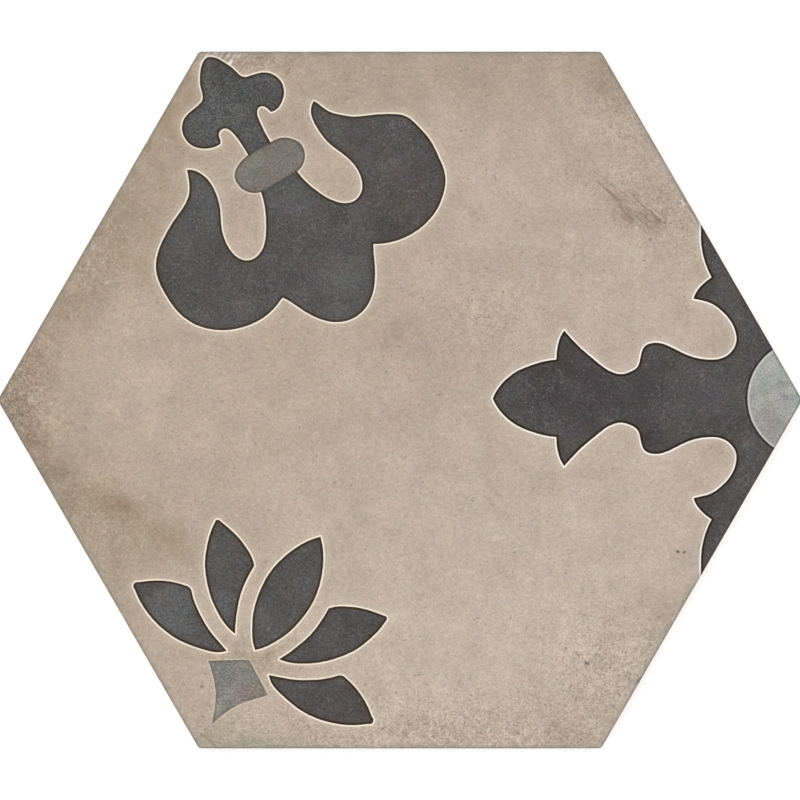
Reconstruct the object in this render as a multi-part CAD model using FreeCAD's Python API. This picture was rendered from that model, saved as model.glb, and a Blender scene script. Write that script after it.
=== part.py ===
import FreeCAD, Part
import math
import os

from FreeCAD import Placement, Rotation, Vector

# A hexagonal floor tile of pressed and fired ceramic, lying face up. All sizes are in millimetres.
# The origin is on the floor under the middle of the tile. +Z points up, out of the decorated face.
# +X points to the corner with the cross. The other corners follow every 60 degrees.

# Body
ACROSS_FLATS = 216.5
THICKNESS = 9.5
CORNER_RADIUS = 1.5
TOP_ARRIS_RADIUS = 0.6
LOWER_BEVEL = 1.0

# Honeycomb of shallow keys in the back, which the mortar fills
KEY_PITCH = 15.0
KEY_RIB = 2.2
KEY_DEPTH = 0.9
KEY_DRAFT_DEGREES = 30.0
KEY_BORDER = 9.0

# Decorated face: the figures are pressed a little below the ground
DARK_DEPTH = 0.3
GREY_DEPTH = 0.2
CUTTER_HEADROOM = 2.0

# Side of the tile for which the figures' outlines below are drawn
DECOR_SIDE = 125.0

# Each figure stands in a corner of the tile. Its points are (u, v): u runs from the corner to the
# middle of the tile, and v to the left of that line. The shift is where the figure's centre line
# lies along v.
LILY_CORNER_DEGREES = 120.0
LILY_SHIFT = 1.1
FLOWER_CORNER_DEGREES = 240.0
FLOWER_SHIFT = 0.15
CROSS_CORNER_DEGREES = 0.0
CROSS_SHIFT = -0.5

# Round eye in the cross corner, centred where three laid tiles meet
EYE_RADIUS = 18.3
EYE_SETBACK = 1.2

# An outline is a start point and its strokes. A stroke of one point is a straight line, one of two
# points is an arc, and a longer one is a smooth curve through its points.

# Lily: its two sides differ a little, so both are drawn
LILY_CROWN = [
    (41.0, 4.0),
    [(35.0, 4.0), (31.0, 4.1), (28.0, 4.4), (25.6, 5.0), (24.4, 6.2), (24.5, 7.4), (25.8, 8.5), (27.4, 8.9)],
    [(27.6, 10.6), (26.2, 13.7), (23.8, 15.7), (20.8, 16.3), (18.0, 15.4), (16.0, 13.4), (14.8, 10.0), (14.3, 7.6)],
    [(13.0, 6.3), (10.5, 5.6), (7.0, 4.0), (4.0, 2.0), (3.0, 0.0), (4.0, -2.1), (6.5, -4.3), (10.0, -6.1),
     (13.0, -7.1), (14.1, -8.2)],
    [(14.6, -10.3), (15.3, -14.0), (17.3, -17.0), (20.8, -18.2), (24.2, -17.5), (26.7, -15.1), (28.1, -11.7),
     (28.2, -9.8)],
    [(27.4, -9.2), (25.7, -8.8), (24.6, -7.5), (24.8, -5.9), (26.6, -4.7), (29.5, -4.1), (35.0, -3.8),
     (41.0, -3.6)],
]
LILY_LEAVES = [
    (44.0, 6.7),
    [(48.0, 6.7), (52.0, 7.5), (56.0, 9.0), (60.0, 11.1), (63.0, 13.8), (64.4, 17.2), (63.2, 20.7), (60.0, 22.8),
     (56.0, 23.3), (52.0, 22.6), (47.0, 20.5), (43.0, 19.3), (38.5, 18.9), (34.5, 19.4), (31.3, 22.1)],
    [(33.0, 23.0), (36.0, 24.3), (39.0, 27.0), (42.0, 31.0), (44.0, 35.6), (46.5, 40.5), (49.5, 44.4), (54.0, 46.2),
     (60.0, 47.3), (66.0, 47.0), (72.0, 45.7), (76.0, 42.8), (79.5, 38.3), (81.9, 31.0), (81.8, 24.0), (78.8, 15.9)],
    [(82.0, 14.3), (86.0, 12.4), (90.0, 9.9), (93.0, 7.0), (95.2, 3.0), (95.7, 0.0), (95.3, -3.3), (93.2, -7.5),
     (90.0, -10.6), (86.0, -13.1), (82.0, -15.0), (79.1, -16.8)],
    [(80.5, -20.0), (81.5, -24.0), (81.5, -29.0), (80.4, -34.0), (77.6, -39.6), (73.0, -44.3), (67.0, -47.0),
     (60.0, -47.7), (54.0, -47.1), (50.0, -45.2), (46.7, -42.0), (43.8, -37.8), (41.7, -34.0), (39.9, -30.0),
     (37.1, -26.0), (33.9, -24.0), (30.1, -22.6)],
    [(31.9, -20.4), (34.5, -19.0), (38.0, -18.4), (42.0, -18.8), (46.0, -20.0), (50.0, -22.0), (54.0, -23.3),
     (57.5, -23.6), (61.5, -22.7), (63.9, -20.4), (64.2, -17.0), (62.0, -13.3), (58.0, -10.3), (54.0, -8.2),
     (50.0, -6.7), (44.0, -6.0)],
]

# Oblong band that ties the lily's crown to its leaves, with its ends rounder on the crown's side
LILY_BAND = [
    (47.4, -6.3),
    [(47.4, 6.9)],
    [(47.1, 8.3), (46.4, 9.5), (45.1, 10.8), (43.4, 11.7), (41.4, 12.0), (39.5, 11.5), (37.9, 10.2), (36.6, 8.7),
     (35.9, 7.0), (35.7, 5.2)],
    [(35.7, -4.4)],
    [(36.1, -6.3), (36.8, -8.1), (37.9, -9.8), (39.5, -10.9), (41.4, -11.2), (43.4, -10.8), (45.2, -9.8),
     (46.6, -8.2), (47.4, -6.3)],
]

# Flower: the petals on the left of its centre line, half of the petal on that line, and the foot
NEAR_PETAL = [
    (30.6, 7.6),
    [(28.8, 9.9), (27.2, 15.0), (26.2, 21.0), (26.4, 26.5), (27.8, 32.5), (30.3, 38.0), (33.0, 41.8)],
    [(34.2, 42.8), (35.3, 41.9)],
    [(37.3, 39.3), (39.3, 36.0), (40.8, 32.4), (41.8, 28.4)],
    [(41.8, 27.3), (41.1, 26.2)],
    [(38.9, 24.0), (36.0, 20.0), (33.7, 16.0), (32.1, 12.0), (30.6, 7.6)],
]
FAR_PETAL = [
    (36.6, 8.0),
    [(39.0, 9.3), (43.0, 11.0), (48.0, 12.6), (53.0, 13.3), (57.8, 13.4)],
    [(59.4, 15.0), (61.2, 18.0), (62.9, 22.0), (63.9, 26.0), (64.5, 29.6)],
    [(64.3, 30.4), (63.5, 30.6)],
    [(60.0, 30.2), (56.0, 29.1), (51.0, 27.0), (46.5, 23.8), (42.6, 20.0), (39.7, 16.0), (37.6, 12.0), (36.6, 8.0)],
]
MIDDLE_PETAL_HALF = [
    (35.3, 0.0),
    [(37.8, 2.3), (41.0, 4.3), (45.0, 6.2), (50.0, 7.5), (56.0, 8.1), (62.0, 7.4), (67.0, 5.8), (71.5, 3.5),
     (75.8, 0.0)],
]
FLOWER_FOOT = [
    (8.9, 0.1),
    [(13.4, 1.7), (17.8, 3.9), (21.6, 7.0), (25.1, 10.8)],
    [(31.6, 0.1)],
    [(25.1, -10.3)],
    [(22.2, -7.5), (18.4, -4.2), (14.1, -1.8), (8.9, 0.1)],
]

# Cross: half of it, from the eye out past the tile's side and along its three arms to its tip
CROSS_HALF = [
    (5.0, 0.0),
    [(5.0, 60.0)],
    [(31.5, 60.0)],
    [(31.5, 52.0)],
    [(31.3, 47.0), (30.4, 42.8), (28.2, 37.6)],
    [(30.3, 36.0), (32.2, 34.1), (33.8, 31.0)],
    [(31.5, 30.5), (28.5, 29.6), (25.5, 27.6), (22.6, 24.5), (20.8, 20.8), (20.7, 16.8), (22.5, 14.0), (25.5, 12.3),
     (29.5, 12.0), (34.0, 12.8), (38.5, 14.7), (43.0, 16.8), (46.3, 17.2), (49.0, 16.1), (50.2, 13.0), (51.3, 9.7),
     (53.5, 8.2), (56.5, 7.5), (60.0, 8.5), (64.4, 11.7), (69.4, 16.0), (72.1, 18.8), (74.0, 21.0)],
    [(75.4, 18.4), (76.2, 15.2), (76.4, 12.0)],
    [(80.0, 11.5), (84.5, 10.2), (89.0, 8.2), (93.3, 4.6), (96.2, 0.0)],
]

side = ACROSS_FLATS / math.sqrt(3)
decor_scale = side / DECOR_SIDE


def hexagon(across_flats, first_corner_degrees, height):
    """Closed wire of a regular hexagon about the Z axis."""
    radius = across_flats / math.sqrt(3)
    angles = [math.radians(first_corner_degrees + 60 * i) for i in range(7)]
    return Part.makePolygon([Vector(radius * math.cos(a), radius * math.sin(a), height) for a in angles])


def edges_at(shape, height):
    """Edges of a shape that lie wholly at one height."""
    return [e for e in shape.Edges if abs(e.BoundBox.ZMin - height) < 1e-4 and abs(e.BoundBox.ZMax - height) < 1e-4]


def slab():
    """Plain tile with rounded corners, a rounded top arris and a bevel along its lower edge."""
    prism = Part.Face(hexagon(ACROSS_FLATS, 0, 0)).extrude(Vector(0, 0, THICKNESS))
    upright = [e for e in prism.Edges if e.BoundBox.ZLength > THICKNESS / 2]
    prism = prism.makeFillet(CORNER_RADIUS, upright)
    prism = prism.makeChamfer(LOWER_BEVEL, edges_at(prism, 0))
    return prism.makeFillet(TOP_ARRIS_RADIUS, edges_at(prism, THICKNESS))


def back_keys():
    """Hexagonal pockets of the back, in as many full rings as the plain border leaves room for."""
    mouth_flats = KEY_PITCH - KEY_RIB
    floor_flats = mouth_flats - 2 * KEY_DEPTH * math.tan(math.radians(KEY_DRAFT_DEGREES))
    ring_step = KEY_PITCH * math.cos(math.radians(30))
    reach = ACROSS_FLATS / 2 - KEY_BORDER - mouth_flats / math.sqrt(3)
    rings = math.floor(reach / ring_step)
    key = Part.makeLoft([hexagon(mouth_flats, 30, 0), hexagon(floor_flats, 30, KEY_DEPTH)], True, True)
    keys = []
    for row in range(-rings, rings + 1):
        for column in range(max(-rings, -rings - row), min(rings, rings - row) + 1):
            keys.append(key.translated(Vector(KEY_PITCH * (column + row / 2), ring_step * row, 0)))
    return keys


def strokes_to_edges(outline):
    """Edges of an outline, closed with a straight line where its strokes leave it open."""
    corner = outline[0]
    edges = []
    for stroke in outline[1:] + [[outline[0]]]:
        points = [Vector(u, v, 0) for u, v in [corner] + stroke]
        corner = stroke[-1]
        if points[0].distanceToPoint(points[-1]) < 1e-6:
            continue
        if len(points) == 2:
            edges.append(Part.LineSegment(*points).toShape())
        elif len(points) == 3:
            edges.append(Part.Arc(*points).toShape())
        else:
            curve = Part.BSplineCurve()
            curve.interpolate(points)
            edges.append(curve.toShape())
    return edges


def flipped(outline):
    """The same outline on the other side of the centre line."""
    return [(outline[0][0], -outline[0][1])] + [[(u, -v) for u, v in stroke] for stroke in outline[1:]]


def mirrored(half):
    """Whole outline, from the half that starts and ends on the centre line."""
    corners = [half[0]] + [stroke[-1] for stroke in half[1:]]
    back = []
    for corner, stroke in zip(corners[-2::-1], half[:0:-1]):
        back.append([(u, -v) for u, v in stroke[-2::-1] + [corner]])
    return half + back


def face(outline):
    """Flat face inside an outline."""
    return Part.Face(Part.Wire(strokes_to_edges(outline)))


def eye_face():
    """Disc round the cross corner."""
    return Part.Face(Part.Wire(Part.Circle(Vector(-EYE_SETBACK, 0, 0), Vector(0, 0, 1), EYE_RADIUS).toShape()))


def cutters(faces, corner_degrees, shift, depth):
    """Solids that sink the faces of a figure, from its own corner of the tile."""
    angle = math.radians(corner_degrees)
    corner = Vector(side * math.cos(angle), side * math.sin(angle), THICKNESS - depth)
    home = Placement(corner, Rotation(Vector(0, 0, 1), corner_degrees + 180))
    solids = []
    for flat in faces:
        solid = flat.translated(Vector(0, shift, 0)).scaled(decor_scale).extrude(Vector(0, 0, depth + CUTTER_HEADROOM))
        solid.Placement = home.multiply(solid.Placement)
        solids.append(solid)
    return solids


def decor():
    """Cutters of all the figures on the face."""
    band = face(LILY_BAND)
    lily = [face(LILY_CROWN).cut(band), face(LILY_LEAVES).cut(band)]
    eye = eye_face()
    cross = [face(mirrored(CROSS_HALF)).cut(eye)]
    petals = [face(NEAR_PETAL), face(flipped(NEAR_PETAL)), face(FAR_PETAL), face(flipped(FAR_PETAL))]
    petals.append(face(mirrored(MIDDLE_PETAL_HALF)))
    foot = [face(FLOWER_FOOT)]
    return (
        cutters(lily, LILY_CORNER_DEGREES, LILY_SHIFT, DARK_DEPTH)
        + cutters([band], LILY_CORNER_DEGREES, LILY_SHIFT, GREY_DEPTH)
        + cutters(petals, FLOWER_CORNER_DEGREES, FLOWER_SHIFT, DARK_DEPTH)
        + cutters(foot, FLOWER_CORNER_DEGREES, FLOWER_SHIFT, GREY_DEPTH)
        + cutters(cross, CROSS_CORNER_DEGREES, CROSS_SHIFT, DARK_DEPTH)
        + cutters([eye], CROSS_CORNER_DEGREES, CROSS_SHIFT, GREY_DEPTH)
    )


def hexagon_tile():
    """The whole tile, one solid."""
    tile = slab().cut(Part.makeCompound(back_keys()))
    for cutter in decor():
        tile = tile.cut(cutter)
    return tile.Solids[0]


os.makedirs("parts", exist_ok=True)
tile = hexagon_tile()
tile.exportStep("parts/hexagon_tile.step")
print("hexagon_tile: valid", tile.isValid(), "volume", round(tile.Volume), "mm3, faces", len(tile.Faces))
print("box", [round(x, 3) for x in (tile.BoundBox.XLength, tile.BoundBox.YLength, tile.BoundBox.ZLength)])
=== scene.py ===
import math

import bpy
import numpy as np
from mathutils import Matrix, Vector, geometry, noise
from mathutils.bvhtree import BVHTree
from mathutils.kdtree import KDTree


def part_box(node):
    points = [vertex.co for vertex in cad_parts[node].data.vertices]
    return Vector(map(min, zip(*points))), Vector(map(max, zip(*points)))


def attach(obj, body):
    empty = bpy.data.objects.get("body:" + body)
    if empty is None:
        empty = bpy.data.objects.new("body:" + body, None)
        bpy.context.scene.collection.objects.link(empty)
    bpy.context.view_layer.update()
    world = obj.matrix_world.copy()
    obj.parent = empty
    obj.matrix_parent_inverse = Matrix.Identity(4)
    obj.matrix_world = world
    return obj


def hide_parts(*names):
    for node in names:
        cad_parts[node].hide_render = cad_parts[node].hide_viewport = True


# A worn hexagonal floor tile of pressed and fired clay, lying face up and seen from straight above.
# Lengths are in metres, but in millimetres in the material and in the lists of marks. The origin is on the
# floor under the middle of the tile, and +X points to the corner with the cross.

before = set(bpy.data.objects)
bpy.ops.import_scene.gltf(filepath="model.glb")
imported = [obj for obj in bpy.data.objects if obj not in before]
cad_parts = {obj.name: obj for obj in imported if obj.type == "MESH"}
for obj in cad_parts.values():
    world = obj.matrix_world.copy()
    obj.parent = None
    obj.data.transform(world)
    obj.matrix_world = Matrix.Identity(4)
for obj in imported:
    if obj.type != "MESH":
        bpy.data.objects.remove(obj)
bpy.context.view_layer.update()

MM = 0.001
COS_30 = math.cos(math.radians(30))
NODE = "hexagon_tile"
PIECE = "tile_ceramic_body"

# Sizes of the tile: the outer ones from the frame's box, and the others as the CAD has them
low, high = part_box(NODE)
THICKNESS = high.z - low.z
ACROSS_FLATS = high.y - low.y
SIDE = ACROSS_FLATS / math.sqrt(3)
CORNER_RADIUS = (SIDE - (high.x - low.x) / 2) / (1 / COS_30 - 1)
ARRIS_RADIUS = 0.6 * MM
LOWER_BEVEL = 1.0 * MM
DARK_DEPTH = 0.3 * MM
GREY_DEPTH = 0.2 * MM
KEY_DEPTH = 0.9 * MM

# Corners of the tile that the figures stand in, in degrees from +X
LILY_CORNER = 120
FLOWER_CORNER = 240
CROSS_CORNER = 0

# Finer relief of the face, its edge and the sides: heights, and the sizes of their uneven places
RECESS_SLOPE = 0.3 * MM
SWELL = 0.05 * MM
SWELL_SIZE = 25 * MM
SWELL_START = 10 * MM
WORN_ARRIS = 0.45 * MM
WEAR_SIZE = 14 * MM
CHIP_SIZE = 3.5 * MM
SIDE_WAVE = 0.12 * MM
SIDE_WAVE_SIZE = 9 * MM
SIDE_WAVE_SHIFT = 40 * MM

# Spacing of the mesh, the gap under which points count as one, and the errors that are let pass
RING_OFFSETS = (0.15 * MM, 0.32 * MM, 0.7 * MM, 1.4 * MM)
ARRIS_INSETS = (0.06 * MM, 0.15 * MM, 0.28 * MM, 0.45 * MM, 0.65 * MM, 0.95 * MM, 1.4 * MM)
SIDE_LEVELS = (0.93, 0.8, 0.6, 0.4, 0.2, 0.0)
SIDE_STEP = 0.85 * MM
OUTLINE_STEP = 0.7 * MM
GRID_STEP = 1.4 * MM
CORNER_STEPS = 6
LEAST_RADIUS = 0.1 * MM
FAN_STEP = math.radians(25)
SHARP_ANGLE = math.radians(50)
NEAR = 0.05 * MM
RING_ERROR = 0.02 * MM
LEVEL_ERROR = 0.005 * MM

# Where a figure's outline counts as cut off by the tile's side, and how far it is carried on past it
CUT_OFF = 0.2 * MM
PAST_SIDE = 8 * MM

# The rings of the back's keys
KEY_STEP = 2.5 * MM
KEY_EASE = 0.3 * MM

# Chipped stretch of the arris, near the lily's corner
CHIPPED_PLACE = np.array((-55, 108)) * MM
CHIPPED_REACH = 9 * MM

# Camera, with its lens and sensor in millimetres
PICTURE_WIDTH = 248.4 * MM
LENS = 200
SENSOR_WIDTH = 36
FARTHEST_SEEN = 10.0

# Floor and light, the lamps as place, width and power
FLOOR_SIZE = 6.0
FLOOR_COLOUR = (0.86, 0.86, 0.86, 1)
FLOOR_GLOW = 0.42
WHITE = (1, 1, 1, 1)
WORLD_LIGHT = 0.7
KEY_LAMP = ((-0.6, 0.5, 1.5), 1.4, 8.0)
FILL_LAMP = ((0.7, -0.6, 1.5), 1.4, 4.0)

# Colours in sRGB bytes
GROUND = (184, 167, 152)
DARK = (79, 76, 75)
BAND = (122, 115, 108)
FOOT = (129, 124, 118)
EYE = (160, 160, 157)
BODY = (164, 142, 120)
MORTAR = (176, 170, 160)

# Colours of the marks in the ground and in the dark slip
BLOTS = (140, 120, 98)
PITS = (126, 106, 86)
SPECKS = (226, 214, 200)
CREASES = (134, 133, 131)
DARK_SPECKS = (158, 158, 156)

# Colours along the figures' edges, the warmer ones at the lily and the flower
DARK_LINE = (32, 22, 8)
WARM_DARK_LINE = (44, 28, 4)
BROWN_MARGIN = (70, 58, 46)
PALE_LINE = (255, 247, 236)
WARM_PALE_LINE = (255, 242, 222)
HALO = (216, 202, 187)
EYE_DARK_RIM = (28, 25, 24)
EYE_PALE_RIM = (212, 210, 208)
BAND_RIM = (60, 44, 28)

# Colours along the tile's sides
GRIME = (122, 128, 116)
WORN_CLAY = (206, 192, 178)
SIDE_LINE_FIGURE = (34, 32, 30)
SIDE_LINE_GROUND = (98, 95, 84)

# How strong the dark and pale lines are along the dark and the grey figures of each corner
DARK_LINES = {LILY_CORNER: 0.82, FLOWER_CORNER: 0.9, CROSS_CORNER: 1.0}
GREY_LINES = {LILY_CORNER: 0.4, FLOWER_CORNER: 0.2, CROSS_CORNER: 0.0}

# Heights in millimetres between which the bare clay of the sides ends, less an uneven 0.6 to 1.4, and
# between which the worn clay of the arris starts
BARE_HEIGHTS = (8.6, 9.0)
WORN_HEIGHTS = (8.4, 9.0)

# Bump of the finest relief
BUMP_STRENGTH = 0.35
BUMP_HEIGHT = 0.15 * MM

# How far the scratches waver, in millimetres
SCRATCH_SHAKE = 1.4

# How ragged and how patchy the stains are
STAIN_RAGGED = 9 * MM
STAIN_PATCHES = 5 * MM

# Stains as place and size in millimetres, direction in degrees, and change of colour in sRGB levels
GROUND_STAINS = [
    # Along the sides, from the top one round to the left, the bottom and the right
    ((-5, 106), (78, 16), 0, (-13, -13, -15)),
    ((-54, 96), (22, 12), 0, (-5, -5, -8)),
    ((64, 98), (14, 5), -60, (-11, -11, -12)),
    ((66, 104), (12, 4), 0, (-4, -4, -6)),
    ((-94, 54), (72, 14), 60, (-18, -18, -20)),
    ((-75, 52), (26, 13), 60, (-7, -7, -10)),
    ((-113, -15), (24, 5), -60, (-22, -21, -22)),
    ((-104, -30), (36, 12), -60, (-11, -11, -13)),
    ((-107, -38), (16, 2.5), -60, (-6, -6, -6)),
    ((-101, 49), (7, 2.5), 60, (-10, -9, -9)),
    ((-82, -58), (20, 12), -60, (-5, -5, -7)),
    ((-47, -106), (16, 3), 0, (-10, -6, -7)),
    ((58, -106), (18, 4), 0, (-8, -7, -8)),
    ((80, -75), (34, 3), 60, (-7, -4, -4)),
    ((82.5, -68), (5, 4), 60, (-7, -8, -9)),
    # Paler ground at the right and below
    ((22, -76), (60, 34), 6, (11, 12, 12)),
    ((66, -28), (46, 28), 20, (6, 7, 7)),
    ((76, 26), (36, 20), 15, (4, 5, 5)),
    ((30, 68), (32, 20), 0, (3, 3, 3)),
    ((-24, -30), (24, 14), 0, (2, 3, 3)),
    ((-30, -69), (12, 7), 15, (8, 9, 8)),
    # Smudges at the left
    ((-70, 10), (60, 60), 0, (0, -1, -3)),
    ((-116, -2), (8, 8), 0, (-8, -8, -9)),
    ((-112, 9), (4, 3), 0, (-8, -16, -14)),
    ((-113, 17), (3, 4), 0, (-6, -12, -10)),
    ((-112.5, -11), (3, 6), 0, (-6, -13, -10)),
    ((-109, -6), (4, 6), 0, (6, 6, 3)),
    ((-84, -36), (20, 9), -36, (-10, -10, -14)),
    ((-90, -31), (7, 4), -30, (-8, -8, -11)),
    ((-71, -44), (8, 5), -36, (-14, -14, -18)),
    ((-85.5, -33), (5, 1.8), -40, (-9, -13, -13)),
    ((-76.5, -40), (4.5, 1.8), -40, (-8, -10, -9)),
    ((-80, 31), (5, 4), 0, (-6, -5, -4)),
    ((-96, 3), (7, 7), 0, (-4, -4, -4)),
    ((-102, 24), (9, 6), 60, (-5, -5, -7)),
    ((-80, 28), (14, 7), 0, (8, 8, 9)),
    ((-78, 2), (16, 12), 0, (5, 5, 5)),
    ((-70, 0), (4, 2), 0, (-8, -8, -8)),
    ((-88, -16), (9, 7), 0, (-4, -4, -5)),
    ((-76, 36), (8, 9), 0, (-7, -7, -8)),
    # Streak at the upper right
    ((64, 65), (11, 4), -40, (-9, -8, -8)),
    ((73.2, 58.8), (6.8, 2.6), -38, (-19, -18, -20)),
    ((70.5, 56), (2.5, 1.5), -45, (-12, -14, -15)),
    ((79, 54.5), (4, 2.5), -45, (-12, -12, -13)),
    ((80, 66), (13, 5), -60, (-5, -5, -5)),
    ((79, 47), (4, 6), 0, (-5, -5, -4)),
    ((98, 42), (5, 7), 0, (-16, -14, -18)),
    ((92.5, 55.5), (8, 1.2), -60, (-16, -13, -8)),
    # Soft patches in the middle
    ((0, 20), (8, 7), 0, (-8, -9, -8)),
    ((-12, 30), (7, 5), 0, (-6, -7, -9)),
    ((-1, -4), (6, 5), 0, (-5, -7, -4)),
    ((19, 14), (7, 6), 20, (-4, -6, -3)),
    ((-35, 17), (6, 5), 0, (-6, -7, -7)),
    ((2, -18), (26, 16), 0, (4, 4, 4)),
    ((40, 6), (6, 8), 0, (-4, -4, -4)),
    ((78, 21), (8, 5), 0, (3, 3, 3)),
    ((74, -18), (10, 6), 0, (4, 4, 4)),
    ((-16, 64), (14, 16), 0, (-4, -4, -6)),
    ((8, 70), (6, 8), 0, (4, 4, 3)),
    ((44, 68), (12, 10), 0, (3, 3, 3)),
    ((72, 46), (9, 7), 0, (5, 5, 4)),
    ((56, 61), (6, 4), 0, (4, 4, 4)),
    ((68, 92), (4, 5), 0, (-4, -4, -5)),
    # Round the flower and below it
    ((-42, -80), (10, 7), 0, (-16, -15, -21)),
    ((-62, -76), (7, 5), 0, (-6, -6, -7)),
    ((-56, -79), (8, 3), 0, (-5, -5, -8)),
    ((-50, -99), (5, 4), 0, (8, 9, 8)),
    ((6, -91), (14, 8), 0, (3, 3, 4)),
    ((-57, -102), (6, 4), 0, (-9, -6, -10)),
    ((-44, -107), (12, 1.4), 0, (-9, -3, -6)),
    ((10, -98), (14, 6), 0, (-5, -6, -6)),
    ((60, -82), (4, 3), 0, (-10, -10, -9)),
    ((51, -102), (4, 4), 0, (-7, -7, -7)),
    # Round the lily's crown
    ((-68, 86), (8, 8), 60, (-5, -7, -12)),
    ((-24, 89), (7, 6), 0, (-5, -3, -5)),
    ((-50, 81), (4, 4), 0, (-5, -8, -11)),
    ((-58, 106), (9, 4), 0, (4, 1, 8)),
    # Pale spot
    ((53, 51), (1.5, 1.5), 0, (14, 14, 14)),
]
DARK_STAINS = [
    # Lily
    ((-54, 88), (16, 18), 0, (3, 7, 7)),
    ((-58, 61), (8, 6), 0, (13, 16, 17)),
    ((-40, 28), (5, 4), 0, (7, 9, 10)),
    ((-30, 37), (10, 4), 0, (4, 4, 5)),
    ((0, 84), (4, 4), 0, (7, 6, 8)),
    ((-8, 66), (5, 4), 0, (-7, -8, -8)),
    ((-16, 60), (4, 4), 0, (4, 5, 4)),
    ((16, 52), (4, 5), 0, (-5, -7, -7)),
    ((-34, 64), (8, 6), -60, (4, 6, 6)),
    ((-74, 44), (5, 9), 0, (-4, -5, -6)),
    ((-46, 25), (14, 7), 0, (4, 5, 5)),
    ((-18, 36), (8, 12), 0, (7, 9, 9)),
    ((-3, 73), (4, 6), 0, (7, 4, 5)),
    ((4, 60), (13, 9), 0, (-4, -7, -7)),
    ((12, 72), (4, 8), 0, (-5, -8, -8)),
    ((-4, 40), (5, 6), 0, (-5, 0, -5)),
    # Flower
    ((-70, -65), (10, 9), 0, (13, 17, 17)),
    ((-64, -74), (6, 5), 0, (6, 8, 8)),
    ((-75, -60), (3, 3), 0, (10, 8, 6)),
    ((-52, -64), (6, 5), 0, (10, 12, 12)),
    ((-33, -47), (4, 4), 0, (6, 6, 6)),
    ((-58, -50), (7, 10), 0, (3, 4, 3)),
    ((-44, -55), (3, 8), 0, (-9, -8, -12)),
    ((-43, -70), (4, 5), 0, (6, 8, 9)),
    ((-14, -72), (14, 8), 20, (-3, -4, -4)),
    ((-3, -65), (4, 3), 0, (-6, -8, -10)),
    ((-20, -94), (16, 7), -10, (-4, -6, -6)),
    ((-10, -91), (4, 3), 0, (-6, -8, -10)),
    # Cross
    ((70, 0), (50, 50), 0, (-2, -3, -2)),
    ((57, 1), (24, 14), 0, (-10, -12, -10)),
    ((46, 9), (12, 4), 0, (-7, -7, -7)),
    ((104, -34), (8, 14), 30, (-8, -8, -8)),
    ((51, 16), (5, 6), 0, (-12, -13, -14)),
    ((51, -16), (5, 5), 0, (-6, -8, -10)),
    ((77, -14), (6, 5), 0, (-14, -15, -14)),
    ((93, 36), (4, 5), 0, (-13, -13, -16)),
    ((94, -39), (5, 8), 0, (-10, -10, -11)),
    ((96, 2), (8, 7), 0, (2, 1, 3)),
]
GREY_STAINS = [
    # Foot of the flower
    ((-54, -85), (7, 5), 0, (-6, -3, -2)),
    ((-55, -92), (4, 4), 0, (-7, -6, -7)),
    ((-49, -91), (5, 4), 0, (2, -2, 0)),
    ((-44, -91), (4, 3), 0, (6, 2, 0)),
    ((-53.5, -91.5), (5, 1.0), 53, (10, 13, 11)),
    ((-51, -89.5), (4, 0.7), 56, (9, 11, 9)),
    ((-56.7, -95), (1.4, 2.6), 0, (20, 20, 13)),
    # Band of the lily
    ((-46, 70), (4, 4), 0, (-4, 0, -2)),
    ((-41, 69), (6, 4), 0, (6, 6, 7)),
    ((-40, 79), (8, 2.5), 27, (-7, -7, -7)),
    # Eye of the cross
    ((113.5, -2), (4.5, 4), 0, (-4, -7, -9)),
    ((116, -9), (4, 4), 0, (-1, -3, -5)),
    ((112, 7), (6, 5), 0, (3, 5, 4)),
    ((114, 12), (4, 4), 0, (8, 7, 7)),
    ((114.5, -6), (3.5, 4), 0, (-9, -11, -8)),
    ((122, 1), (2, 3), 0, (3, 8, 6)),
    ((119.2, 4.6), (1.6, 1.2), 0, (-18, -18, -18)),
    ((119.5, 1.1), (1.2, 1.0), 0, (-16, -16, -16)),
    ((118, 3), (3, 8), 0, (4, 5, 4)),
]

# Where the ground is coarser, where fine lines run along a smudge, where the dark slip is grainier, and
# where the ground is scuffed pale: place and size in millimetres, direction in degrees, and strength
COARSE_PLACES = [
    ((-119, 2), (9, 26), 0, 1.2),
    ((-94, 44), (18, 8), 60, 0.5),
    ((-50, 104), (16, 5), 0, 0.7),
    ((72, 90), (14, 16), 0, 0.5),
    ((78, 62), (18, 10), -40, 0.6),
    ((26, 27), (14, 10), 0, 0.4),
    ((20, -104), (80, 12), 0, 0.8),
    ((-36, -80), (16, 8), 0, 0.6),
    ((66, -84), (20, 18), 0, 0.8),
    ((-96, -36), (22, 10), -40, 0.35),
]
LINED_PLACES = [
    ((71, 60), (13, 4.5), -40, 1.0),
    ((79, 56), (8, 3.5), -40, 0.8),
]
GRAINY_PLACES = [
    ((-52, 92), (18, 14), 0, 0.8),
    ((-60, -62), (20, 20), 0, 0.15),
]
SCUFFED_PLACES = [
    ((-60, 106), (4, 2), 0, 0.9),
    ((-54, 105.4), (5, 2.2), -25, 1.2),
    ((-49, 106.8), (4, 1), 0, 0.8),
]

# Streaks in the lined and in the scuffed places: direction in degrees, shift of the noise, and the
# share and sRGB colour of their dark and of their pale lines
STREAKS = [
    ("lined", -39, 47, 0.55, (122, 108, 94), 0.22, (214, 200, 184)),
    ("scuffed", 50, 44, 0.7, (96, 86, 82), 0.9, (248, 244, 242)),
]

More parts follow.
